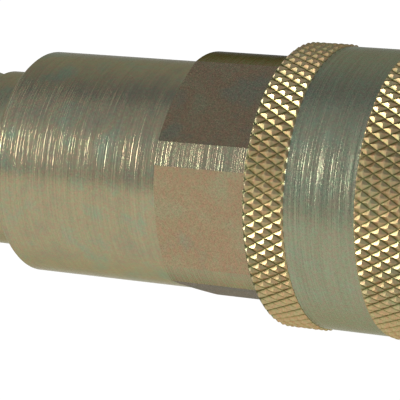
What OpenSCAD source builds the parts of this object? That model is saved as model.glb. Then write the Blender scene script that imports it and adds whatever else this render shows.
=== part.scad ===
// Quick disconnect coupler, socket half: a pull-back sleeve locks the plug with balls, and a
// spring-loaded poppet shuts the flow when the plug leaves.
// Millimetres. +X runs along the axis towards the socket and +Z is up. X = 0 is the shoulder
// that meets the port face. A profile is a list of [x, radius] points, in order of x.

/* [Port stub] */
// Major diameter of the port thread, 7/8-14
thread_d = 22.225; // [21:0.025:22.6]
// Length of the port thread, with its lead chamfer
thread_len = 15; // [8:0.5:24]
// Lead chamfer of the port thread
thread_chamfer = 1; // [0.5:0.1:1.5]
// Width of the relief groove behind the thread
relief_w = 3.1; // [2:0.1:6]
// Root diameter of the relief groove
relief_d = 20; // [18:0.1:21]
// Diameter of the plain pilot land
pilot_d = 22.7; // [22.7:0.1:26]
// Length of the plain pilot land
pilot_len = 6.4; // [3:0.1:10]

/* [Body] */
// Diameter of the body, and of the socket tube inside the sleeve
body_d = 28.575; // [27.4:0.025:36]
// Length of the plain body, from the shoulder to the wrench collar
body_len = 22.9; // [19:0.1:40]
// Chamfer at the body's shoulder
body_chamfer = 0.2; // [0.2:0.1:1]
// How far the turned collar stands out from the body
collar_rise = 1.44; // [1:0.02:2.4]
// Length of the wrench flats
flat_len = 12.7; // [8:0.1:20]
// How far each flat lies outside the body's surface
flat_rise = 0.02; // [0:0.01:0.4]
// Angle of the first flat, up from the front
flat_clock = 49.4; // [0:0.1:60]
// Number of the hexagon's six sides that are milled, the others stay round
flat_count = 5; // [2:1:6]
// Length of the round flange in front of the flats
flange_len = 2.4; // [1.5:0.1:5]
// Bevel at the back edge of the collar
collar_bevel = 0.6; // [0.3:0.1:1.4]

/* [Sleeve] */
// How far the sleeve's back rim laps over the flange
sleeve_lap = 1.67; // [0.8:0.01:2]
// Width of the back knurl
back_knurl_w = 5.27; // [3:0.01:9]
// Width of the plain waist between the knurls
waist_w = 9; // [6:0.1:14]
// Width of the front knurl
front_knurl_w = 10.8; // [8:0.1:16]
// Width of the plain nose
nose_w = 3.4; // [2.8:0.1:6]
// Wall of the sleeve's skirt under the waist
skirt_wall = 1.425; // [1.2:0.005:3]
// How far the knurls stand out from the waist
knurl_rise = 0.27; // [0.1:0.01:0.6]
// How far the nose lies below the waist
nose_drop = 0.4; // [0:0.05:0.8]
// Thickness of the lip that stops the sleeve on the retaining ring
lip_w = 1.5; // [1:0.1:3]
// Length of the land that holds the balls in
land_len = 3.4; // [2.6:0.1:6]
// Angle of the ramp from the land to the release groove
ramp_angle = 30; // [20:1:45]
// How far the sleeve pulls back
sleeve_travel = 5.5; // [4:0.1:6]

/* [Lock] */
// Number of locking balls
ball_count = 8; // [4:1:9]
// Diameter of a locking ball
ball_d = 4.762; // [4:0.001:5.2]
// How far a ball moves outwards when the sleeve is pulled back
ball_lift = 0.88; // [0.6:0.01:1.1]

/* [Socket] */
// Diameter of the socket bore that takes the plug
socket_d = 20.6; // [18:0.05:21.2]
// How much wider the socket's mouth is than its bore
mouth_relief = 1.4; // [0.8:0.1:1.8]
// Length of the wider mouth, from the front face
mouth_len = 7.5; // [5:0.1:7.6]
// Angle of the cone that leads from the mouth into the bore
lead_angle = 30; // [25:1:45]
// Lead-in chamfer of the mouth
mouth_chamfer = 1.5; // [0.5:0.1:2]
// Depth of the socket, from the front face to the plug's stop
socket_depth = 24.6; // [22:0.1:30]
// How far the socket's front face stands in front of the sleeve
face_proud = 0.8; // [0.2:0.1:3]

/* [Seals] */
// Section diameter of the socket seal
socket_seal_w = 2.4; // [1.6:0.1:2.6]
// Distance from the plug's stop to the socket seal's groove
socket_seal_setback = 4.6; // [3:0.1:6]
// Thickness of the backup ring
backup_w = 0.9; // [0.6:0.1:1.2]
// Section diameter of the body joint's seal
joint_seal_w = 1.6; // [1:0.1:1.8]
// Section diameter of the poppet's seal
poppet_seal_w = 1.9; // [1.4:0.1:2.2]

/* [Valve] */
// Diameter of the flow bore through the stub
flow_d = 13; // [9:0.1:15]
// Diameter of the valve chamber
chamber_d = 18.4; // [17.6:0.1:19.2]
// Diameter of the throat that the poppet shuts
throat_d = 14.4; // [12.4:0.1:14.8]
// Length of the throat
throat_len = 2.3; // [1:0.1:4]
// Diameter of the poppet's stem
stem_d = 5; // [3:0.1:6]
// Diameter of the poppet's nose
poppet_nose_d = 8; // [5:0.1:10]
// How far the poppet's nose stands in the socket
poppet_nose_reach = 2.5; // [1:0.1:4]
// How far the poppet opens
poppet_travel = 5; // [3:0.1:5.4]
// Thickness of the valve guide's plate
guide_w = 1.5; // [1:0.1:2.5]
// Number of spokes in the valve guide
spoke_count = 3; // [3:1:5]
// Angle that each spoke of the valve guide spans
spoke_angle = 34; // [20:1:50]

/* [Springs] */
// Wire diameter of the sleeve's spring
sleeve_wire = 1.2; // [0.8:0.05:1.3]
// Turns of the sleeve's spring
sleeve_turns = 4.5; // [3.5:0.25:5]
// Wire diameter of the poppet's spring
poppet_wire = 1.1; // [0.8:0.05:1.3]
// Turns of the poppet's spring
poppet_turns = 5; // [4:0.25:5.5]
// Length of the poppet's spring when the valve is shut
poppet_spring_len = 11.5; // [10.5:0.1:14]

/* [Rings] */
// Thickness of the washer behind the sleeve's spring
seat_w = 0.8; // [0.5:0.1:1.5]
// Thickness of the retaining ring
ring_w = 1.1; // [0.8:0.1:1.4]
// Depth of the retaining ring's groove
ring_groove_depth = 1; // [0.6:0.05:1.3]
// Opening in the retaining ring, as an angle
ring_gap_angle = 16; // [8:1:30]

/* [Fits] */
// Radial clearance of a running fit
run_clear = 0.05; // [0.02:0.01:0.1]
// Radial clearance of the sleeve's land and lip on the socket tube
slide_clear = 0.08; // [0.04:0.01:0.12]
// Radial clearance of the sleeve's skirt around the collar
skirt_clear = 0.235; // [0.15:0.005:0.5]
// Gap where pieces meet end to end or a seal meets its seat
stop_gap = 0.05; // [0.02:0.01:0.1]
// Radial clearance around the sleeve's spring
spring_clear = 0.22; // [0.1:0.01:0.3]

/* [Hidden] */
$fn = 96;
BALLS = [for (i = [1 : ball_count]) str("locking_ball_", i)];
over = 1;

// Radii of the stub and body
thread_r = thread_d / 2;
relief_r = relief_d / 2;
pilot_r = pilot_d / 2;
body_r = body_d / 2;
collar_r = body_r + collar_rise;
flat_r = body_r + flat_rise;
flow_r = flow_d / 2;

// Places along the axis, from the stub to the joint between the two halves of the body
relief_x = -pilot_len - relief_w;
stub_x = relief_x - thread_len;
flats_x1 = body_len + flat_len;
joint_x = flats_x1 + flange_len;

// Radii of the sleeve, from its skirt outwards
skirt_r = collar_r + skirt_clear;
waist_r = skirt_r + skirt_wall;
knurl_r = waist_r + knurl_rise;
nose_r = waist_r - nose_drop;
land_r = body_r + slide_clear;

// Places along the sleeve
sleeve_x = joint_x - sleeve_lap;
waist_x = sleeve_x + back_knurl_w;
front_knurl_x = waist_x + waist_w;
nose_x = front_knurl_x + front_knurl_w;
sleeve_x1 = nose_x + nose_w;
rim_chamfer = 0.3;
nose_chamfer = 1;

// Retaining ring, just in front of the lip
ring_recess = ring_w + stop_gap + 0.45;
lip_x1 = sleeve_x1 - ring_recess;
lip_x = lip_x1 - lip_w;
ring_x = lip_x1 + stop_gap;
ring_groove_r = body_r - ring_groove_depth;
ring_r = body_r + 1.05;
ring_recess_r = ring_r + 0.5;

// Locking balls. At rest the land holds them in, and pulled back the release groove is over them
ball_r = ball_d / 2;
ball_rc = land_r - stop_gap - ball_r;
lifted_rc = ball_rc + ball_lift;
release_r = lifted_rc + ball_r + 0.14;
ball_reach = sqrt(ball_r * ball_r - pow(max(0, land_r - lifted_rc), 2));
ball_x = lip_x - sleeve_travel - ball_reach - 0.4;
ball_hole_r = ball_r + run_clear;
ramp_len = (release_r - land_r) / tan(ramp_angle);
land_x = ball_x - land_len;

// Sleeve spring, between its washer and the back of the land
seat_x1 = joint_x + seat_w;
sleeve_spring_r = body_r + spring_clear + sleeve_wire / 2;

// Socket, from its front face down to the plug's stop
socket_r = socket_d / 2;
mouth_r = socket_r + mouth_relief / 2;
face_x = sleeve_x1 + face_proud;
mouth_x = face_x - mouth_len;
lead_x = mouth_x - (mouth_r - socket_r) / tan(lead_angle);
stop_x = face_x - socket_depth;
face_chamfer = 0.5;

// Socket seal and its backup ring share one groove
seal_squeeze = 0.35;
socket_seal_r = socket_r - seal_squeeze + socket_seal_w / 2;
seal_groove_r = socket_seal_r + socket_seal_w / 2 + 0.02;
seal_groove_x = stop_x + socket_seal_setback;
seal_groove_x1 = seal_groove_x + socket_seal_w + backup_w + 0.15;

// Valve seat, a 45 degree cone behind the throat, on which x + radius stays the same
throat_r = throat_d / 2;
chamber_r = chamber_d / 2;
throat_x = stop_x - throat_len;
seat_sum = throat_x + throat_r;
cone_x = seat_sum - chamber_r;

// Poppet, with its cone a little clear of the seat and its seal standing proud of the cone
poppet_r = chamber_r - 1;
metal_gap = 0.3;
poppet_sum = seat_sum - metal_gap * sqrt(2);
poppet_face_r = throat_r - 1.2;
poppet_seal_r = throat_r - 0.1;
poppet_seal_x = seat_sum - poppet_seal_r - (poppet_seal_w / 2 + stop_gap) * sqrt(2);
poppet_head_len = 4.3;
poppet_x = poppet_sum - poppet_r - poppet_head_len;
poppet_nose_x1 = stop_x + poppet_nose_reach;
poppet_nose_r = poppet_nose_d / 2;
poppet_edge = 0.8;
stem_r = stem_d / 2;

// Valve guide, clamped between the two halves of the body
guide_x1 = poppet_x - poppet_spring_len;
guide_x = guide_x1 - guide_w;
guide_rim = 2.7;
guide_r = chamber_r + guide_rim;
hub_r = stem_r + 1.7;
hub_x = guide_x - 3;
hub_x1 = guide_x1 + 1;
stem_x = hub_x - 1.5;
chamber_x = guide_x - 2.7;
flow_x1 = chamber_x - (chamber_r - flow_r);
poppet_spring_r = hub_r + 0.8 + poppet_wire;

// Joint between the two halves of the body: a sealed spigot, then a thread
spigot_r = guide_r;
spigot_hole_r = spigot_r + run_clear;
spigot_x = guide_x1 + 0.1;
joint_thread_r = body_r - 1.5875;
joint_thread_x = joint_x - 10.7;
joint_groove_r = spigot_hole_r - joint_seal_w;
joint_groove_w = joint_seal_w + 0.4;
joint_groove_x = (spigot_x + joint_thread_x) / 2 - joint_groove_w / 2;
joint_seal_r = joint_groove_r + joint_seal_w / 2;

// A solid turned about the X axis from a profile of [x, radius] points
module turned(profile) {
  first_x = profile[0][0];
  last_x = profile[len(profile) - 1][0];
  rotate([0, 90, 0])
    rotate_extrude()
      polygon(concat([[0, first_x]], [for (p = profile) [p[1], p[0]]], [[0, last_x]]));
}

// A plain cylinder along the X axis
module rod(x, x1, r) {
  translate([x, 0, 0])
    rotate([0, 90, 0])
      cylinder(h = x1 - x, r = r);
}

// A round-section ring about the X axis
module ring(x, r, section_r) {
  translate([x, 0, 0])
    rotate([0, 90, 0])
      rotate_extrude()
        translate([r, 0])
          circle(r = section_r, $fn = 48);
}

// Places its children at an angle about the X axis, counted from the front (-Y) upwards
module at_angle(angle) {
  rotate([-angle, 0, 0]) children();
}

// Height along the axis of a coil's wire centre after t turns, with one closed turn at each end
function coil_x(t, turns, wire, len) =
  let (closed = wire * 1.06, open = (len - wire - 2 * closed) / (turns - 2))
    t < 1 ? closed * t
    : t < turns - 1 ? closed + open * (t - 1)
    : closed + open * (turns - 2) + closed * (t - turns + 1);

// A compression spring from x, of a round wire swept along its coil
module coil_spring(x, len, r, wire, turns) {
  steps = 24;
  sides = 8;
  count = round(turns * steps);
  rings = [
    for (i = [0 : count])
      let (t = i / steps, angle = 360 * t, mid = x + wire / 2 + coil_x(t, turns, wire, len))
        [for (k = [0 : sides - 1])
          let (
            a = 360 * k / sides,
            radius = r + wire / 2 * cos(a)
          )
            [mid + wire / 2 * sin(a), radius * cos(angle), radius * sin(angle)]]
  ];
  points = [for (section = rings) each section];
  walls = [
    for (i = [0 : count - 1], k = [0 : sides - 1])
      let (
        a = i * sides + k,
        b = i * sides + (k + 1) % sides
      )
        [a, a + sides, b + sides, b]
  ];
  first_cap = [for (k = [0 : sides - 1]) k];
  last_cap = [for (k = [0 : sides - 1]) count * sides + sides - 1 - k];
  polyhedron(points, concat(walls, [first_cap, last_cap]));
}

// One milled side of the wrench collar, as the stock that the cutter takes away
module flat_cut() {
  side = 2 * collar_r + over;
  translate([body_len - over, -flat_r - side, -side / 2])
    cube([flat_len + over, side, side]);
}

// Stub, body and wrench collar in one turned piece
module rear_body() {
  color([0.62, 0.58, 0.44])
    difference() {
      turned([
        [stub_x, thread_r - thread_chamfer],
        [stub_x + thread_chamfer, thread_r],
        [relief_x, thread_r],
        [relief_x, relief_r],
        [-pilot_len, relief_r],
        [-pilot_len, pilot_r],
        [0, pilot_r],
        [0, body_r - body_chamfer],
        [body_chamfer, body_r],
        [body_len, body_r],
        [body_len + collar_bevel, collar_r],
        [joint_x, collar_r]
      ]);
      turned([
        [stub_x - over, flow_r],
        [flow_x1, flow_r],
        [chamber_x, chamber_r],
        [guide_x, chamber_r],
        [guide_x, spigot_hole_r],
        [joint_thread_x, spigot_hole_r],
        [joint_thread_x, joint_thread_r + run_clear],
        [joint_x + over, joint_thread_r + run_clear]
      ]);
      for (i = [0 : flat_count - 1]) {
        side = i < 1 ? 0 : i + 6 - flat_count;
        at_angle(flat_clock + 60 * side) flat_cut();
      }
    }
}

// A hole for one locking ball, with a cone that keeps the ball from falling in
module ball_hole() {
  cone_base = ball_rc - (ball_r + stop_gap) * sqrt(2);
  tip_r = 0.6;
  translate([ball_x, 0, 0])
    union() {
      translate([0, 0, cone_base + tip_r])
        cylinder(h = ball_hole_r - tip_r, r1 = tip_r, r2 = ball_hole_r);
      translate([0, 0, cone_base + ball_hole_r])
        cylinder(h = body_r - cone_base, r = ball_hole_r);
    }
}

// Socket tube that takes the plug, carries the sleeve and holds the valve seat
module front_body() {
  color([0.68, 0.64, 0.5])
    difference() {
      turned([
        [spigot_x, spigot_r],
        [joint_groove_x, spigot_r],
        [joint_groove_x, joint_groove_r],
        [joint_groove_x + joint_groove_w, joint_groove_r],
        [joint_groove_x + joint_groove_w, spigot_r],
        [joint_thread_x + stop_gap, spigot_r],
        [joint_thread_x + stop_gap, joint_thread_r],
        [joint_x, joint_thread_r],
        [joint_x, body_r],
        [lip_x1, body_r],
        [lip_x1, ring_groove_r],
        [ring_x + ring_w + stop_gap, ring_groove_r],
        [ring_x + ring_w + stop_gap, body_r],
        [face_x - face_chamfer, body_r],
        [face_x, body_r - face_chamfer]
      ]);
      turned([
        [spigot_x - over, chamber_r],
        [cone_x, chamber_r],
        [throat_x, throat_r],
        [stop_x, throat_r],
        [stop_x, socket_r],
        [seal_groove_x, socket_r],
        [seal_groove_x, seal_groove_r],
        [seal_groove_x1, seal_groove_r],
        [seal_groove_x1, socket_r],
        [lead_x, socket_r],
        [mouth_x, mouth_r],
        [face_x - mouth_chamfer, mouth_r],
        [face_x, mouth_r + mouth_chamfer],
        [face_x + over, mouth_r + mouth_chamfer]
      ]);
      for (i = [1 : ball_count])
        rotate([360 * i / ball_count, 0, 0]) ball_hole();
    }
}

// Sliding sleeve, its knurls plain here at the height of their crests
module sleeve() {
  color([0.78, 0.7, 0.46])
    difference() {
      turned([
        [sleeve_x, knurl_r - rim_chamfer],
        [sleeve_x + rim_chamfer, knurl_r],
        [waist_x, knurl_r],
        [waist_x, waist_r],
        [front_knurl_x, waist_r],
        [front_knurl_x, knurl_r],
        [nose_x, knurl_r],
        [nose_x, nose_r],
        [sleeve_x1 - nose_chamfer, nose_r],
        [sleeve_x1, nose_r - nose_chamfer / 2]
      ]);
      turned([
        [sleeve_x - over, skirt_r],
        [land_x, skirt_r],
        [land_x, land_r],
        [ball_x, land_r],
        [ball_x + ramp_len, release_r],
        [lip_x, release_r],
        [lip_x, land_r],
        [lip_x1, land_r],
        [lip_x1, ring_recess_r],
        [sleeve_x1 + over, ring_recess_r]
      ]);
    }
}

// Spring that holds the sleeve forward
module sleeve_spring() {
  color([0.66, 0.68, 0.7])
    coil_spring(
      seat_x1, land_x - stop_gap - seat_x1, sleeve_spring_r, sleeve_wire, sleeve_turns
    );
}

// Washer between the collar and the sleeve's spring
module spring_seat() {
  color([0.72, 0.72, 0.7])
    difference() {
      rod(joint_x + stop_gap, seat_x1, collar_r);
      rod(joint_x - over, seat_x1 + over, body_r + run_clear);
    }
}

// Open ring in the socket tube's groove, which the sleeve's lip stops against
module retaining_ring() {
  color([0.3, 0.3, 0.32])
    translate([ring_x, 0, 0])
      rotate([0, 90, 0])
        rotate([0, 0, ring_gap_angle / 2])
          rotate_extrude(angle = 360 - ring_gap_angle)
            translate([ring_groove_r + run_clear, 0])
              square([ring_r - ring_groove_r - run_clear, ring_w]);
}

// Elastomer ring that seals on the plug's nose
module socket_seal() {
  color([0.08, 0.08, 0.09])
    ring(seal_groove_x + 0.05 + socket_seal_w / 2, socket_seal_r, socket_seal_w / 2);
}

// Hard ring that keeps the socket seal from squeezing out towards the mouth
module backup_ring() {
  x1 = seal_groove_x1 - 0.05;
  color([0.93, 0.93, 0.9])
    difference() {
      rod(x1 - backup_w, x1, seal_groove_r - 0.02);
      rod(x1 - backup_w - over, x1 + over, socket_r + 0.02);
    }
}

// Elastomer ring that seals the joint between the two halves of the body
module joint_seal() {
  color([0.08, 0.08, 0.09])
    ring(joint_groove_x + joint_groove_w / 2, joint_seal_r, joint_seal_w / 2 - 0.01);
}

// Valve poppet: stem, head and the nose that the plug's own valve pushes
module poppet() {
  color([0.75, 0.72, 0.6])
    difference() {
      turned([
        [stem_x, stem_r - 0.4],
        [stem_x + 0.4, stem_r],
        [poppet_x, stem_r],
        [poppet_x, poppet_r],
        [poppet_sum - poppet_r, poppet_r],
        [poppet_sum - poppet_face_r, poppet_face_r],
        [poppet_sum - poppet_face_r, poppet_nose_r],
        [poppet_nose_x1 - poppet_edge, poppet_nose_r],
        [poppet_nose_x1, poppet_nose_r - poppet_edge]
      ]);
      ring(poppet_seal_x, poppet_seal_r, poppet_seal_w / 2 + 0.02);
    }
}

// Elastomer ring in the poppet's cone
module poppet_seal() {
  color([0.08, 0.08, 0.09])
    ring(poppet_seal_x, poppet_seal_r, poppet_seal_w / 2);
}

// Spring that shuts the poppet
module poppet_spring() {
  color([0.66, 0.68, 0.7])
    coil_spring(
      guide_x1, poppet_x - stop_gap - guide_x1, poppet_spring_r, poppet_wire, poppet_turns
    );
}

// Spoked plate that guides the poppet's stem
module valve_guide() {
  window_angle = 360 / spoke_count - spoke_angle;
  color([0.7, 0.66, 0.52])
    difference() {
      union() {
        rod(guide_x, guide_x1, guide_r);
        rod(hub_x, hub_x1, hub_r);
      }
      rod(hub_x - over, hub_x1 + over, stem_r + run_clear);
      for (i = [1 : spoke_count])
        translate([guide_x - over, 0, 0])
          rotate([0, 90, 0])
            rotate([0, 0, 360 * i / spoke_count])
              rotate_extrude(angle = window_angle)
                translate([hub_r, 0])
                  square([chamber_r - hub_r - 0.3, guide_w + 2 * over]);
    }
}

// One locking ball, in its hole in the socket tube
module locking_ball(i) {
  color([0.8, 0.8, 0.82])
    rotate([360 * i / ball_count, 0, 0])
      translate([ball_x, 0, ball_rc])
        sphere(r = ball_r);
}

rear_body();
front_body();
sleeve();
sleeve_spring();
spring_seat();
retaining_ring();
socket_seal();
backup_ring();
joint_seal();
poppet();
poppet_seal();
poppet_spring();
valve_guide();
for (i = [1 : ball_count])
  locking_ball(i);
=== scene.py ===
"""Looks, light and camera of the quick disconnect coupler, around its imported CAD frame.

Lengths are in millimetres in the shape functions and in metres in Blender. +X runs along the axis
towards the socket, +Z is up, and X = 0 is the shoulder that meets the port face.
"""
import math

import bpy
from mathutils import Matrix, Vector


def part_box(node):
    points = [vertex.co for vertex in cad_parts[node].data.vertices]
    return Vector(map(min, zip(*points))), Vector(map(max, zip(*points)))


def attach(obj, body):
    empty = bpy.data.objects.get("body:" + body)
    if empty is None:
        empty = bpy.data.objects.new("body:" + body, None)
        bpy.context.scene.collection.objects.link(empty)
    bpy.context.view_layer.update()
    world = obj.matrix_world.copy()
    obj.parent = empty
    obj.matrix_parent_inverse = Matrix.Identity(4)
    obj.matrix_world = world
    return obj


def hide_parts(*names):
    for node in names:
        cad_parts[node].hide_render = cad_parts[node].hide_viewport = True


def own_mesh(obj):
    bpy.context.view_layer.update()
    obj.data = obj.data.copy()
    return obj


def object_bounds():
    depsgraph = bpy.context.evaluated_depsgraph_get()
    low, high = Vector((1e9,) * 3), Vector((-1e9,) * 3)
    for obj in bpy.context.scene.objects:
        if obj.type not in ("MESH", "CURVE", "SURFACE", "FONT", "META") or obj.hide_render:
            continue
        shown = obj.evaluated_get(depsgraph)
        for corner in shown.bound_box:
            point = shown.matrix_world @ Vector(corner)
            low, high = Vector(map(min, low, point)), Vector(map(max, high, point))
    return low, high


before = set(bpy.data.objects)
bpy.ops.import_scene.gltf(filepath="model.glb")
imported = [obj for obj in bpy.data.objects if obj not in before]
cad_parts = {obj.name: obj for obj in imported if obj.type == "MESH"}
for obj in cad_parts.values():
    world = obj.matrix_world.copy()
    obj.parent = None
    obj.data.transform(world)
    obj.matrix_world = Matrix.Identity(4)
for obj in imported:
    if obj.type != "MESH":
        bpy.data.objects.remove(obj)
cad_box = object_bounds()

MM = 0.001
MERGE_DIGITS = 5


# ---------------------------------------------------------------- places, from the frame
def span(node, axis=0):
    """Lowest and highest place of a CAD node along an axis, in millimetres."""
    low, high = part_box(node)
    return low[axis] / MM, high[axis] / MM


STUB_X, JOINT_X = span("rear_body")
SLEEVE_X, SLEEVE_X1 = span("sleeve")
KNURL_R = span("sleeve", 2)[1]
COLLAR_R = span("spring_seat", 2)[1]
BODY_R = span("front_body", 2)[1]
GUIDE_R = span("valve_guide", 2)[1]
CLEARANCE = 0.05

# Port stub: a 7/8-14 thread, its relief groove and the plain pilot land
THREAD_R = 11.1125
THREAD_PITCH = 25.4 / 14
THREAD_DEPTH = 0.6 * THREAD_PITCH
THREAD_STEPS = 14
THREAD_LEAD = 1.5
THREAD_TAIL_SLOPE = 8
THREAD_LEN = 15.0
RELIEF_X, RELIEF_R = STUB_X + THREAD_LEN, 10.0
RELIEF_BREAK = 0.15
RELIEF_FILLET = 0.3
PILOT_X, PILOT_R = -6.4, 11.35
PILOT_BREAK = 0.12
UNDERCUT, UNDERCUT_LEN = 0.15, 0.25

# Plain body and wrench collar, with five of six sides milled
BODY_LEN = 22.9
BODY_CHAMFER, BODY_CHAMFER_LEN = 0.2, 0.25
FLAT_LEN = 12.7
FLAT_R = BODY_R + 0.02
FLAT_CLOCK = 49.4
ROUND_SIDE = 1
COLLAR_BEVEL = 0.6
COLLAR_MIDDLE = 29.0
BODY_ROWS = (2, 8, 15, BODY_LEN - 0.01)
BEVEL_SHARES = (0.0, 0.5, 0.93, 1.0)
FLANGE_BREAK = 0.1
JOINT_BREAK = 0.2

# Bore of the rear body: joint thread, seat of the valve guide, valve chamber and flow bore
JOINT_STEP, JOINT_DEPTH, JOINT_LEAD = 1.5875, 10.7, 0.3
HUB_BEHIND = 3.0
GUIDE_RIM = 2.7
CHAMBER_R = GUIDE_R - GUIDE_RIM
CHAMBER_LEN = 2.7
FLOW_R = 6.5
FLOW_CHAMFER = 0.5

# Sleeve
WAIST_R = KNURL_R - 0.27
NOSE_R = WAIST_R - 0.4
SKIRT_R = WAIST_R - 1.425
WAIST_X = SLEEVE_X + 5.27
FRONT_KNURL_X = WAIST_X + 9.0
NOSE_X = FRONT_KNURL_X + 10.8
KNURL_COUNT = 80
KNURL_DEPTH = 0.34
KNURL_STEPS = 8
CREST = 0.82
KNURL_PITCH = 2.36
BACK_PHASE = 0.35
FRONT_PHASE = 0.8
RIM_CHAMFER = 0.3
RIM_ROWS = 5
SKIRT_BREAK = 0.2
NOSE_STEP = 0.25
# The nose's rounded chamfer: places back from the sleeve's end, and drops below the nose
NOSE_CHAMFER = ((1.15, 0), (1.0, 0.04), (0.08, 0.5), (0, 0.6))

# Inside of the sleeve: the land over the balls, their release groove, the stop lip and the nose recess
LAND_X, BALL_X, LIP_X, LIP_X1 = 50.59, 53.99, 61.7, 63.2
LAND_R = BODY_R + 0.08
RELEASE_R, RECESS_R = 15.3375, 15.8375
RAMP_ANGLE = 30
LIP_BREAK = 0.1
RECESS_BREAK = 0.15


# ---------------------------------------------------------------- mesh building
def add_mesh(name, points, faces, zones=None, sharp=28.0):
    """A mesh object in millimetres. Points that coincide are merged, and faces that vanish go."""
    index, merged, at = {}, [], []
    for p in points:
        key = tuple(round(place, MERGE_DIGITS) for place in p)
        if key not in index:
            index[key] = len(merged)
            merged.append((p[0] * MM, p[1] * MM, p[2] * MM))
        at.append(index[key])
    kept, kept_zones = [], []
    for number, face in enumerate(faces):
        corners = []
        for corner in (at[i] for i in face):
            if corner not in corners:
                corners.append(corner)
        if len(corners) > 2:
            kept.append(corners)
            kept_zones.append(zones[number] if zones else 0)
    mesh = bpy.data.meshes.new(name)
    mesh.from_pydata(merged, [], kept)
    mesh.polygons.foreach_set("material_index", kept_zones)
    mesh.polygons.foreach_set("use_smooth", [True] * len(kept))
    mesh.update()
    mesh.set_sharp_from_angle(angle=math.radians(sharp))
    piece = bpy.data.objects.new(name, mesh)
    bpy.context.scene.collection.objects.link(piece)
    return piece


def turned(rows, angles, zone_of, split_of):
    """Points and faces of a closed profile turned about X.

    A row gives (x, radius) at each angle, and the last row joins the first. split_of says how a quad
    is cut: 0 not at all, above 0 from its first corner, below 0 from its second.
    """
    points, faces, zones = [], [], []
    count = len(angles)
    for row in rows:
        for j, angle in enumerate(angles):
            x, r = row(j, angle)
            points.append((x, -r * math.cos(angle), r * math.sin(angle)))
    for i in range(len(rows)):
        k = (i + 1) % len(rows)
        for j in range(count):
            m = (j + 1) % count
            a, b, c, d = i * count + j, k * count + j, k * count + m, i * count + m
            zone, cut = zone_of(i, j), split_of(i, j)
            if cut:
                faces += [(a, b, c), (a, c, d)] if cut > 0 else [(a, b, d), (b, c, d)]
                zones += [zone, zone]
            else:
                faces.append((a, b, c, d))
                zones.append(zone)
    return points, faces, zones


def plain(x, r):
    """A row of a turned profile that is the same all round."""
    return lambda j, angle: (x, r)


# ---------------------------------------------------------------- rear body
def thread_height(turn):
    """Share of the thread's depth at a place along one pitch: 30 degree flanks, flat crest and root."""
    t = abs(turn - math.floor(turn + 0.5))
    crest, root = 0.07, 0.41
    if t < crest:
        return 1.0
    if t > root:
        return 0.0
    return (root - t) / (root - crest)


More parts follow.
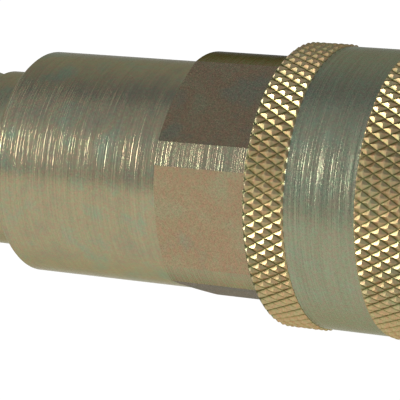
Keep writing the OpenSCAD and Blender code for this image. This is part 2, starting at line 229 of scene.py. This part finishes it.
def rear_body():
    """Threaded stub, turned body and wrench collar, with the bore that holds the valve."""
    half = math.degrees(math.acos(FLAT_R / COLLAR_R))
    flat_steps, corner_steps = 24, 6
    angles, flat_turn = [], []
    for side in range(6):
        mid = FLAT_CLOCK + 60 * side
        milled = side != ROUND_SIDE
        for s in range(flat_steps):
            turn = -half + 2 * half * s / flat_steps
            angles.append(math.radians(mid + turn))
            flat_turn.append(math.radians(turn) if milled else None)
        for s in range(corner_steps):
            turn = half + (60 - 2 * half) * s / corner_steps
            angles.append(math.radians(mid + turn))
            flat_turn.append(math.radians(half) if milled and s == 0 else None)

    slope = (COLLAR_R - BODY_R) / COLLAR_BEVEL
    flats_x1 = BODY_LEN + FLAT_LEN

    def flat_limit(j):
        return COLLAR_R if flat_turn[j] is None else min(COLLAR_R, FLAT_R / math.cos(flat_turn[j]))

    def bevel_row(share):
        return lambda j, angle: (
            BODY_LEN + share * (flat_limit(j) - BODY_R) / slope,
            BODY_R + share * (flat_limit(j) - BODY_R),
        )

    def collar_row(x):
        return lambda j, angle: (x, flat_limit(j))

    x0, x1 = STUB_X, RELIEF_X
    root_r = RELIEF_R + RELIEF_BREAK
    total = int((x1 - x0) / THREAD_PITCH + 2) * THREAD_STEPS

    def thread_row(k):
        """A row that climbs along the helix, kept between the lead chamfer and the run-out."""
        def place(j, angle):
            helix = (angle - angles[0]) / (2 * math.pi)
            x = min(max(x0 + (k / THREAD_STEPS - 1 + helix) * THREAD_PITCH, x0), x1)
            r = THREAD_R - THREAD_DEPTH * (1 - thread_height((x - x0) / THREAD_PITCH - helix))
            tip = THREAD_R - THREAD_LEAD + (x - x0)
            tail = root_r + (x1 - x) * THREAD_TAIL_SLOPE
            return x, min(r, tip, max(tail, root_r))

        return place

    rows = [plain(x0, FLOW_R + FLOW_CHAMFER)] + [thread_row(k) for k in range(total + 1)]
    stub_end = len(rows)
    rows += [
        plain(x1, root_r), plain(x1 + RELIEF_BREAK, RELIEF_R),
        plain(PILOT_X - RELIEF_FILLET, RELIEF_R), plain(PILOT_X, RELIEF_R + RELIEF_FILLET),
        plain(PILOT_X, PILOT_R - PILOT_BREAK), plain(PILOT_X + PILOT_BREAK, PILOT_R),
        plain(-UNDERCUT_LEN, PILOT_R), plain(0, PILOT_R - UNDERCUT),
        plain(0, BODY_R - BODY_CHAMFER), plain(BODY_CHAMFER_LEN, BODY_R),
    ]
    body_start = len(rows)
    rows += [plain(x, BODY_R) for x in BODY_ROWS]
    body_end = len(rows)
    rows += [bevel_row(share) for share in BEVEL_SHARES]
    rows += [collar_row(x) for x in (BODY_LEN + COLLAR_BEVEL + 0.1, COLLAR_MIDDLE, flats_x1)]
    flats_end = len(rows) - 1
    rows += [
        lambda j, angle: (flats_x1, max(flat_limit(j), COLLAR_R - FLANGE_BREAK)),
        plain(flats_x1 + FLANGE_BREAK, COLLAR_R),
        plain(JOINT_X - JOINT_BREAK, COLLAR_R), plain(JOINT_X, COLLAR_R - JOINT_BREAK),
    ]
    inside = len(rows)
    guide_x = span("valve_guide")[0] + HUB_BEHIND
    thread_x = JOINT_X - JOINT_DEPTH
    joint_r = BODY_R - JOINT_STEP + CLEARANCE
    chamber_x = guide_x - CHAMBER_LEN
    rows += [
        plain(JOINT_X, joint_r + JOINT_LEAD), plain(JOINT_X - JOINT_LEAD, joint_r),
        plain(thread_x, joint_r), plain(thread_x, GUIDE_R + CLEARANCE),
        plain(guide_x, GUIDE_R + CLEARANCE), plain(guide_x, CHAMBER_R),
        plain(chamber_x, CHAMBER_R), plain(chamber_x - (CHAMBER_R - FLOW_R), FLOW_R),
        plain(STUB_X + FLOW_CHAMFER, FLOW_R),
    ]

    def zone(i, j):
        """Which finish a face has: body 0, stub 1, plain 2, milled 3, collar corner 4."""
        if i < stub_end:
            return 1
        if i < body_start - 1:
            return 2
        if i < body_end:
            return 0
        if i < flats_end:
            return 3 if flat_turn[j] is not None and flat_turn[(j + 1) % len(angles)] is not None else 4
        return 4 if i < inside else 2

    # The helical rows run on past the last column, so that column is repeated one turn on
    points, faces, zones = [], [], []
    count = len(angles)
    ring = angles + [angles[0] + 2 * math.pi]
    for row in rows:
        for j, angle in enumerate(ring):
            x, r = row(j % count, angle)
            points.append((x, -r * math.cos(angle), r * math.sin(angle)))
    for i in range(len(rows)):
        k = (i + 1) % len(rows)
        for j in range(count):
            faces.append(tuple(n * (count + 1) + j + m for n, m in ((i, 0), (k, 0), (k, 1), (i, 1))))
            zones.append(zone(i, j))
    return add_mesh("turned_body", points, faces, zones, sharp=24.0)


# ---------------------------------------------------------------- sleeve
def ridge(t):
    """Height across one family of knurl grooves: 0 in a rounded groove, 1 on the crest between two."""
    d = abs(t - math.floor(t + 0.5)) * 2
    root = 0.12
    return d * d / (2 * root) / (1 - root / 2) if d < root else (d - root / 2) / (1 - root / 2)


def knurled_sleeve():
    """Pull-back sleeve with real diamonds, cut by two families of grooves 30 degrees off the axis."""
    count = KNURL_COUNT * KNURL_STEPS
    angles = [2 * math.pi * j / count for j in range(count)]
    step = KNURL_PITCH / KNURL_STEPS

    def knurl_row(x, crest_x, low=0.0, high=KNURL_R):
        """A row across the diamonds, which have a crest at crest_x, kept between two radii."""
        def place(j, angle):
            u, v = (x - crest_x) / KNURL_PITCH, j / KNURL_STEPS
            share = min(ridge(u + v + 0.5), ridge(u - v + 0.5), CREST) / CREST
            return x, min(max(KNURL_R - KNURL_DEPTH * (1 - share), low), high)

        return place

    def band(x0, x1, crest_x, rim):
        """Rows of one knurled band, between shoulders, or from a chamfered rim at x0.

        Next to a shoulder the rows are fine, and the diamonds end there in a steep wall with a dip.
        """
        rows, wall, fine, margin, dip, steep = [], 0.48, 0.08, 0.3, 0.3, 1.4
        fine_steps = int(wall / fine)
        places = [x0 + i * fine for i in range(1, fine_steps + 1)]
        first = math.ceil((x0 + wall - crest_x) / step + margin)
        last = math.floor((x1 - wall - crest_x) / step - margin)
        places += [crest_x + i * step for i in range(first, last + 1)]
        places += [x1 - i * fine for i in range(fine_steps, 0, -1)]
        for x in places:
            low, high = 0.0, KNURL_R
            for inward, shoulder in ((x - x0, not rim), (x1 - x, True)):
                if shoulder:
                    low = max(low, WAIST_R - dip * (inward / wall) ** 2)
                    high = min(high, WAIST_R + inward * steep)
            if rim:
                high = min(high, KNURL_R - RIM_CHAMFER + (x - x0))
            rows.append(knurl_row(x, crest_x, low, high))
        return rows

    back_crest, front_crest = SLEEVE_X + BACK_PHASE, FRONT_KNURL_X + FRONT_PHASE
    back = band(SLEEVE_X, WAIST_X, back_crest, True)
    front = band(FRONT_KNURL_X, NOSE_X, front_crest, False)
    ramp_x = BALL_X + (RELEASE_R - LAND_R) / math.tan(math.radians(RAMP_ANGLE))
    rows = [plain(SLEEVE_X, SKIRT_R + SKIRT_BREAK)]
    rows.append(knurl_row(SLEEVE_X, back_crest, 0, KNURL_R - RIM_CHAMFER))
    rows += back
    knurl_a = len(rows)
    rows += [plain(WAIST_X + inward, WAIST_R) for inward in (0, 0.3, 3)]
    rows += [plain(FRONT_KNURL_X - inward, WAIST_R) for inward in (3, 0.3, 0)]
    waist_end = len(rows) - 1
    rows += front
    knurl_b = len(rows)
    rows += [plain(NOSE_X, WAIST_R), plain(NOSE_X + NOSE_STEP, NOSE_R)]
    rows += [plain(SLEEVE_X1 - back, NOSE_R - drop) for back, drop in NOSE_CHAMFER]
    rows += [
        plain(SLEEVE_X1, RECESS_R + RECESS_BREAK), plain(SLEEVE_X1 - RECESS_BREAK, RECESS_R),
        plain(LIP_X1, RECESS_R), plain(LIP_X1, LAND_R + LIP_BREAK), plain(LIP_X1 - LIP_BREAK, LAND_R),
        plain(LIP_X + LIP_BREAK, LAND_R), plain(LIP_X, LAND_R + LIP_BREAK), plain(LIP_X, RELEASE_R),
        plain(ramp_x, RELEASE_R), plain(BALL_X, LAND_R), plain(LAND_X, LAND_R),
        plain(LAND_X, SKIRT_R), plain(SLEEVE_X + SKIRT_BREAK, SKIRT_R),
    ]

    def zone(i, j):
        """Which finish a face has: waist 0, knurl 1, plain 2, chamfered rim with painted shade 3."""
        if 1 <= i < RIM_ROWS:
            return 3
        if i < knurl_a or waist_end <= i < knurl_b:
            return 1
        if i < waist_end:
            return 0
        return 2

    def split(i, j):
        """How a quad of the knurl is cut in two, so that the cut follows the edge that crosses it."""
        if zone(i, j) not in (1, 3) or i < 1:
            return 0
        (x_a, r_a), (x_b, r_b) = rows[i](j, 0), rows[i + 1](j, 0)
        (_, r_d), (_, r_c) = rows[i](j + 1, 0), rows[i + 1](j + 1, 0)
        crest_x = back_crest if i < knurl_a else front_crest
        _, middle = knurl_row((x_a + x_b) / 2, crest_x)(j + 0.5, 0)
        return 1 if abs((r_a + r_c) / 2 - middle) < abs((r_b + r_d) / 2 - middle) else -1

    points, faces, zones = turned(rows, angles, zone, split)
    return add_mesh("knurled_sleeve", points, faces, zones, sharp=16.0)


# ---------------------------------------------------------------- springs
def coil(name, node, mean_r, wire, turns, sides=16, steps=64):
    """A compression spring with closed, ground ends, over the length of its CAD node."""
    x0, x1 = span(node)
    closed, ground, inset = wire * 1.04, 0.55, 0.001
    rise = (x1 - x0 - wire - 2 * closed) / (turns - 2)
    points, faces = [], []
    count = int(turns * steps)

    def middle(t):
        if t < 1:
            return x0 + wire / 2 + closed * t
        if t < turns - 1:
            return x0 + wire / 2 + closed + rise * (t - 1)
        return x1 - wire / 2 - closed * (turns - t)

    for i in range(count + 1):
        t = i / steps
        angle = 2 * math.pi * t
        thin = ground if i in (0, count) else 1.0
        for s in range(sides):
            a = 2 * math.pi * s / sides
            r = mean_r + wire / 2 * thin * math.cos(a)
            x = min(max(middle(t) + wire / 2 * thin * math.sin(a), x0 + inset), x1 - inset)
            points.append((x, r * math.cos(angle), r * math.sin(angle)))
    for i in range(count):
        for s in range(sides):
            a, b = i * sides + s, i * sides + (s + 1) % sides
            faces.append((a, a + sides, b + sides, b))
    faces.append(tuple(range(sides)))
    faces.append(tuple(count * sides + s for s in reversed(range(sides))))
    return add_mesh(name, points, faces, sharp=50.0)


# ---------------------------------------------------------------- materials
def set_stops(ramp, stops):
    """Gives a colour ramp its stops, as (place, colour) or (place, level)."""
    while len(ramp.elements) < len(stops):
        ramp.elements.new(0.5)
    for element, (place, colour) in zip(ramp.elements, stops):
        element.position = place
        element.color = (*colour, 1) if isinstance(colour, tuple) else (colour, colour, colour, 1)


class Shader:
    """A node tree with short calls for the nodes that the materials share."""

    NOISE_LOW, NOISE_HIGH = 0.3, 0.7

    def __init__(self, name, **values):
        self.material = bpy.data.materials.new(name)
        self.material.use_nodes = True
        self.tree = self.material.node_tree
        self.bsdf = self.tree.nodes["Principled BSDF"]
        for key, value in values.items():
            self.bsdf.inputs[key.replace("_", " ")].default_value = value

    def add(self, kind, **settings):
        node = self.tree.nodes.new(kind)
        for key, value in settings.items():
            setattr(node, key, value)
        return node

    def join(self, source, target):
        self.tree.links.new(source, target)

    def math(self, operation, a, b=None, c=None):
        node = self.add("ShaderNodeMath", operation=operation)
        for socket, value in zip(node.inputs, (a, b, c)):
            if value is None:
                continue
            if isinstance(value, (int, float)):
                socket.default_value = value
            else:
                self.join(value, socket)
        return node.outputs[0]

    def turned_place(self, along, around):
        """Coordinates for marks that run round the axis: fine along it, and slow around it."""
        at = self.add("ShaderNodeTexCoord").outputs["Object"]
        parts = self.add("ShaderNodeSeparateXYZ")
        self.join(at, parts.inputs[0])
        flat = self.add("ShaderNodeCombineXYZ")
        self.join(parts.outputs["Y"], flat.inputs["Y"])
        self.join(parts.outputs["Z"], flat.inputs["Z"])
        unit = self.add("ShaderNodeVectorMath", operation="NORMALIZE")
        self.join(flat.outputs[0], unit.inputs[0])
        out = self.add("ShaderNodeSeparateXYZ")
        self.join(unit.outputs[0], out.inputs[0])
        place = self.add("ShaderNodeCombineXYZ")
        self.join(self.math("MULTIPLY", parts.outputs["X"], along / MM), place.inputs["X"])
        self.join(self.math("MULTIPLY", out.outputs["Y"], around), place.inputs["Y"])
        self.join(self.math("MULTIPLY", out.outputs["Z"], around), place.inputs["Z"])
        return place.outputs[0]

    def solid_place(self, per_mm):
        """Coordinates for grain that is the same size in every direction."""
        at = self.add("ShaderNodeTexCoord").outputs["Object"]
        scale = self.add("ShaderNodeVectorMath", operation="SCALE")
        self.join(at, scale.inputs[0])
        scale.inputs["Scale"].default_value = per_mm / MM
        return scale.outputs[0]

    def radius(self, low, high):
        """Distance from the axis as a share of the way from one radius to another, in millimetres."""
        parts = self.add("ShaderNodeSeparateXYZ")
        self.join(self.add("ShaderNodeTexCoord").outputs["Object"], parts.inputs[0])
        across = self.math("MULTIPLY", parts.outputs["Y"], parts.outputs["Y"])
        total = self.math("MULTIPLY_ADD", parts.outputs["Z"], parts.outputs["Z"], across)
        out = self.math("SUBTRACT", self.math("SQRT", total), low * MM)
        return self.math("DIVIDE", out, (high - low) * MM)

    def noise(self, place, detail=3.0, rough=0.5, seed=0.0):
        node = self.add("ShaderNodeTexNoise", noise_dimensions="4D")
        self.join(place, node.inputs["Vector"])
        node.inputs["W"].default_value = seed
        node.inputs["Scale"].default_value = 1.0
        node.inputs["Detail"].default_value = detail
        node.inputs["Roughness"].default_value = rough
        return node.outputs["Fac"]

    def ramp(self, value, *stops):
        """Colours or levels along a value, as (place, colour) stops."""
        node = self.add("ShaderNodeValToRGB")
        self.join(value, node.inputs[0])
        set_stops(node.color_ramp, stops)
        return node.outputs["Color"]

    def mix(self, share, a, b, blend="MIX"):
        node = self.add("ShaderNodeMix", data_type="RGBA", blend_type=blend)
        for socket, value in ((node.inputs[0], share), (node.inputs[6], a), (node.inputs[7], b)):
            if isinstance(value, (int, float)):
                socket.default_value = value
            elif isinstance(value, tuple):
                socket.default_value = (*value, 1)
            else:
                self.join(value, socket)
        return node.outputs[2]

    def span(self, value, low, high):
        """Maps the usual reach of a noise value to low..high."""
        node = self.add("ShaderNodeMapRange")
        self.join(value, node.inputs[0])
        node.inputs["From Min"].default_value = self.NOISE_LOW
        node.inputs["From Max"].default_value = self.NOISE_HIGH
        node.inputs["To Min"].default_value = low
        node.inputs["To Max"].default_value = high
        return node.outputs[0]

    def bump(self, height, distance, under=None):
        """Relief of a given height in millimetres, on top of another bump."""
        node = self.add("ShaderNodeBump")
        node.inputs["Strength"].default_value = 1.0
        node.inputs["Distance"].default_value = distance * MM
        self.join(height, node.inputs["Height"])
        if under is not None:
            self.join(under, node.inputs["Normal"])
        return node.outputs[0]

    def finish(self, colour, rough=None, normal=None):
        self.join(colour, self.bsdf.inputs["Base Color"])
        if rough is not None:
            self.join(rough, self.bsdf.inputs["Roughness"])
        if normal is not None:
            self.join(normal, self.bsdf.inputs["Normal"])
        return self.material


# Tints of the chromate film, as reflected colour
OLIVE = (0.330, 0.300, 0.190)
STRAW = (0.385, 0.330, 0.190)
ROSE = (0.405, 0.290, 0.165)
GREEN = (0.310, 0.338, 0.218)
SAGE = (0.330, 0.322, 0.200)
GOLD = (0.530, 0.395, 0.197)
BRASS = (0.470, 0.410, 0.215)

# Where the tints lie on the noise that spreads them, and how far lines and specks lighten them
TINTS_FROM, TINTS_OVER = 0.33, 0.34
LIGHTEST = 1.12

# Painted shade: how the colour darkens towards the bottom of a knurl groove, where shade falls
GROOVE_SHADE = ((0.0, (0.22, 0.26, 0.18)), (0.12, (0.68, 0.74, 0.62)), (0.30, (1.0, 0.96, 0.94)))


def chromate(
    name, tints, rough, streaks=0.0, grain=0.0, fine=0.0, seed=0.0, dark=0.25, mottle=0.06,
    groove=None, lined=True, edge=0.6,
):
    """Yellow chromate over zinc: an uneven, faintly iridescent film on turned or milled steel.

    streaks, grain and fine are heights of relief in millimetres. dark is how far lines and specks
    darken the film, mottle how far it turns pink and green, and edge how bright it is at a glancing
    angle. groove gives the radii between which the colour darkens towards the bottom, as painted shade.
    """
    s = Shader(name, Metallic=1.0, Specular_Tint=(edge, edge * 0.97, edge * 0.8, 1))
    patch = s.noise(s.solid_place(0.22), 3.0, 0.55, seed)
    step = TINTS_OVER / max(len(tints) - 1, 1)
    colour = s.ramp(patch, *[(TINTS_FROM + step * i, tint) for i, tint in enumerate(tints)])
    line_place = s.turned_place(along=5.0, around=1.4) if lined else s.solid_place(7.0)
    lines = s.noise(line_place, 4.0, 0.6, seed + 3)
    specks = s.noise(s.solid_place(4.5), 3.0, 0.65, seed + 7)
    shade = s.mix(0.5, s.span(lines, 1 - dark, LIGHTEST), s.span(specks, 1 - dark, LIGHTEST))
    colour = s.mix(1.0, colour, shade, "MULTIPLY")
    hues = s.noise(s.solid_place(2.4), 2.0, 0.6, seed + 21)
    pink, green = (1.0, 1 - 2 * mottle, 1 - mottle), (1 - 2 * mottle, 1.0, 1 - mottle / 2)
    colour = s.mix(1.0, colour, s.ramp(hues, (0.40, pink), (0.60, green)), "MULTIPLY")
    # Painted shade: the colour darkens towards the bottom of the knurl grooves
    if groove:
        colour = s.mix(1.0, colour, s.ramp(s.radius(*groove), *GROOVE_SHADE), "MULTIPLY")
    low, high = rough
    gloss = s.span(s.mix(0.5, specks, lines), low, high)
    normal = None
    if fine:
        normal = s.bump(s.noise(s.turned_place(along=9.0, around=1.4), 2.0, 0.5, seed + 11), fine)
    if streaks:
        cuts = s.noise(s.turned_place(along=6.0, around=0.30), 2.0, 0.6, seed + 13)
        deep = s.noise(s.turned_place(along=1.6, around=4.0), 2.0, 0.5, seed + 19)
        where = s.ramp(deep, (0.36, 0.7), (0.64, 1.0))
        normal = s.bump(s.math("MULTIPLY", cuts, where), streaks, normal)
    if grain:
        normal = s.bump(s.noise(s.solid_place(3.6), 3.0, 0.65, seed + 17), grain, normal)
    return s.finish(colour, gloss, normal)


def steel(name, tint, rough):
    """Plain drawn or hardened steel with faint scratches."""
    s = Shader(name, Metallic=1.0)
    marks = s.noise(s.turned_place(along=7.0, around=3.0), 3.0, 0.6)
    bright = tuple(min(1.0, c * 1.12) for c in tint)
    dull = tuple(c * 0.82 for c in tint)
    colour = s.ramp(marks, (0.35, dull), (0.65, bright))
    gloss = s.span(s.noise(s.solid_place(3.0), 3.0, 0.6, 5.0), rough * 0.8, rough * 1.3)
    return s.finish(colour, gloss, s.bump(marks, 0.004))


def soft(name, tint, rough):
    """Moulded rubber or filled plastic, matte with fine grain."""
    s = Shader(name)
    grain = s.noise(s.solid_place(6.0), 3.0, 0.6)
    bright = tuple(min(1.0, c * 1.25) for c in tint)
    colour = s.ramp(grain, (0.35, tint), (0.65, bright))
    return s.finish(colour, s.span(grain, rough * 0.9, min(1.0, rough * 1.1)), s.bump(grain, 0.01))


turned_zinc = chromate(
    "turned_zinc", (OLIVE, STRAW, GREEN), (0.17, 0.28), streaks=0.05, fine=0.012, grain=0.012, seed=1.0
)
stub_zinc, plain_zinc = (
    chromate(name, (OLIVE, STRAW, GREEN), (0.24, 0.36), fine=0.012, grain=0.01, seed=seed)
    for name, seed in (("stub_zinc", 2.0), ("plain_zinc", 3.0))
)
milled_zinc = chromate(
    "milled_zinc", (STRAW, ROSE, OLIVE), (0.22, 0.34), grain=0.05, seed=4.0, dark=0.45, mottle=0.05,
    lined=False, edge=0.2,
)
corner_zinc = chromate("corner_zinc", (OLIVE, STRAW), (0.2, 0.32), streaks=0.06, seed=5.0, edge=0.2)
waist_zinc = chromate(
    "waist_zinc", (GREEN, SAGE, GREEN), (0.22, 0.34), streaks=0.07, fine=0.014, grain=0.022, seed=6.0,
    dark=0.35,
)
# The knurl's colour holds painted shade in its grooves
knurl_zinc = chromate(
    "knurl_zinc", (BRASS, GOLD, BRASS), (0.34, 0.47), grain=0.006, seed=7.0,
    groove=(KNURL_R - KNURL_DEPTH, KNURL_R), edge=0.3,
)
# Painted shade: the chamfered rim is darkened, as its groove radii reach above the crests
rim_zinc_painted_shade = chromate(
    "rim_zinc_painted_shade", (OLIVE, STRAW), (0.35, 0.5), seed=9.0, groove=(KNURL_R - KNURL_DEPTH, KNURL_R + 0.3)
)
inner_zinc = chromate("inner_zinc", (OLIVE, STRAW), (0.26, 0.38), fine=0.01, seed=8.0)
spring_wire = steel("spring_wire", (0.42, 0.43, 0.44), 0.3)
hard_steel = steel("hard_steel", (0.72, 0.72, 0.74), 0.12)
black_steel = steel("black_steel", (0.07, 0.07, 0.075), 0.42)
black_rubber = soft("black_rubber", (0.022, 0.022, 0.024), 0.62)
white_plastic = soft("white_plastic", (0.72, 0.71, 0.67), 0.5)


# ---------------------------------------------------------------- pieces
def dress(piece, *materials):
    """Gives a piece its materials, in the order of its zones."""
    if piece.data.materials:
        piece.data.materials.clear()
    for material in materials:
        piece.data.materials.append(material)


body_piece = rear_body()
dress(body_piece, turned_zinc, stub_zinc, plain_zinc, milled_zinc, corner_zinc)
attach(body_piece, "coupler_body")
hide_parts("rear_body")

sleeve_piece = knurled_sleeve()
dress(sleeve_piece, waist_zinc, knurl_zinc, plain_zinc, rim_zinc_painted_shade)
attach(sleeve_piece, "pull_sleeve")
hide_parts("sleeve")

sleeve_coil = coil("sleeve_coil", "sleeve_spring", 15.1075, 1.2, 4.5)
dress(sleeve_coil, spring_wire)
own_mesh(sleeve_coil)
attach(sleeve_coil, "spring_carriage")
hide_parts("sleeve_spring")

poppet_coil = coil("poppet_coil", "poppet_spring", 6.1, 1.1, 5.0)
dress(poppet_coil, spring_wire)
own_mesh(poppet_coil)
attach(poppet_coil, "coupler_body")
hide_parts("poppet_spring")

NODE_LOOKS = {
    "front_body": inner_zinc, "spring_seat": inner_zinc, "poppet": inner_zinc, "valve_guide": inner_zinc,
    "retaining_ring": black_steel, "socket_seal": black_rubber, "joint_seal": black_rubber,
    "poppet_seal": black_rubber, "backup_ring": white_plastic,
}
for name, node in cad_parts.items():
    if name.startswith("locking_ball"):
        dress(node, hard_steel)
    elif name in NODE_LOOKS:
        dress(node, NODE_LOOKS[name])


# ---------------------------------------------------------------- floor, light and camera
SHEET_SIZE = 3.0
SHEET_BELOW = 0.0002
# The sheet's glow, painted light, turns from pale grey to white along this direction, over a soft edge
# in front of the coupler
SHEET_ACROSS = (-0.655, 0.756)
SHEET_EDGE_AT = 0.0734
SHEET_EDGE_RISE = 5.0
SHEET_STOPS = ((0.45, (0.50, 0.52, 0.55)), (0.52, (1.0, 1.0, 1.0)))

CAMERA_AT = (0.15624, -0.25966, 0.05315)
CAMERA_BACK = (0.4515, -0.8719, 0.1894)
CAMERA_LENS = 211.35

# Light of the room by direction, from the front, behind the camera, to the back
ROOM_STOPS = (
    (0.05, (0.50, 0.54, 0.61)), (0.16, (0.56, 0.61, 0.69)), (0.28, (0.50, 0.54, 0.63)),
    (0.41, (0.40, 0.44, 0.52)), (0.47, (0.24, 0.275, 0.35)), (0.65, (0.37, 0.39, 0.44)),
    (0.87, (0.56, 0.59, 0.64)),
)


def floor():
    """A plain sheet that glows white under and behind the coupler and pale grey in front: painted light,
    not a lamp.
    """
    size, z = SHEET_SIZE, cad_box[0][2] - SHEET_BELOW
    corners = [(-size, -size, z), (size, -size, z), (size, size, z), (-size, size, z)]
    mesh = bpy.data.meshes.new("white_sheet")
    mesh.from_pydata(corners, [], [(0, 1, 2, 3)])
    sheet = bpy.data.objects.new("white_sheet", mesh)
    bpy.context.scene.collection.objects.link(sheet)
    # Painted light: the sheet is nearly black and glows with the colour of the ramp below
    s = Shader("sheet_glow", Roughness=1.0, Specular_IOR_Level=0.0, Emission_Strength=1.0)
    s.bsdf.inputs["Base Color"].default_value = (0.06, 0.06, 0.06, 1)
    parts = s.add("ShaderNodeSeparateXYZ")
    s.join(s.add("ShaderNodeTexCoord").outputs["Object"], parts.inputs[0])
    along_y = s.math("MULTIPLY", parts.outputs["Y"], SHEET_ACROSS[1])
    across = s.math("MULTIPLY_ADD", parts.outputs["X"], SHEET_ACROSS[0], along_y)
    inward = s.math("MULTIPLY_ADD", across, SHEET_EDGE_RISE, 0.5 + SHEET_EDGE_AT * SHEET_EDGE_RISE)
    s.join(s.ramp(inward, *SHEET_STOPS), s.bsdf.inputs["Emission Color"])
    dress(sheet, s.material)


def area_light(name, direction, distance, size, power, colour):
    """A soft light, so wide and so high, that looks at the middle of the object."""
    target = Vector(((cad_box[0][0] + cad_box[1][0]) / 2, 0, 0))
    towards = Vector(direction).normalized()
    data = bpy.data.lights.new(name, "AREA")
    data.shape = "ELLIPSE"
    data.size, data.size_y = size
    data.energy = power
    data.color = colour
    light = bpy.data.objects.new(name, data)
    light.location = target + towards * distance
    light.rotation_euler = towards.to_track_quat("Z", "Y").to_euler()
    bpy.context.scene.collection.objects.link(light)


def room():
    """The dim room around the sheet: brighter behind the camera, and darkest to the sides."""
    world = bpy.data.worlds.new("room")
    world.use_nodes = True
    tree = world.node_tree
    parts = tree.nodes.new("ShaderNodeSeparateXYZ")
    tree.links.new(tree.nodes.new("ShaderNodeTexCoord").outputs["Generated"], parts.inputs[0])
    place = tree.nodes.new("ShaderNodeMath")
    place.operation = "MULTIPLY_ADD"
    place.inputs[1].default_value = 0.5
    place.inputs[2].default_value = 0.5
    tree.links.new(parts.outputs["Y"], place.inputs[0])
    walls = tree.nodes.new("ShaderNodeValToRGB")
    tree.links.new(place.outputs[0], walls.inputs[0])
    set_stops(walls.color_ramp, ROOM_STOPS)
    tree.links.new(walls.outputs["Color"], tree.nodes["Background"].inputs["Color"])
    bpy.context.scene.world = world


def camera():
    """The camera where the photographer stood, level and slightly above the axis."""
    back = Vector(CAMERA_BACK).normalized()
    right = Vector((0, 0, 1)).cross(back).normalized()
    up = back.cross(right)
    data = bpy.data.cameras.new("camera")
    data.lens = CAMERA_LENS
    data.sensor_width = 36.0
    data.clip_start = 0.01
    view = bpy.data.objects.new("camera", data)
    turn = Matrix((right, up, back)).transposed().to_4x4()
    view.matrix_world = Matrix.Translation(CAMERA_AT) @ turn
    bpy.context.scene.collection.objects.link(view)
    bpy.context.scene.camera = view


floor()
area_light(
    "window_left", direction=(-0.88, -0.39, 0.22), distance=0.7, size=(0.22, 0.28), power=5.0,
    colour=(1.0, 0.98, 0.97),
)
area_light(
    "wall_left", direction=(-0.88, 0.02, 0.47), distance=0.7, size=(0.5, 0.5), power=0.7,
    colour=(1.0, 0.93, 0.90),
)
room()
camera()
bpy.context.scene.view_settings.view_transform = "Standard"
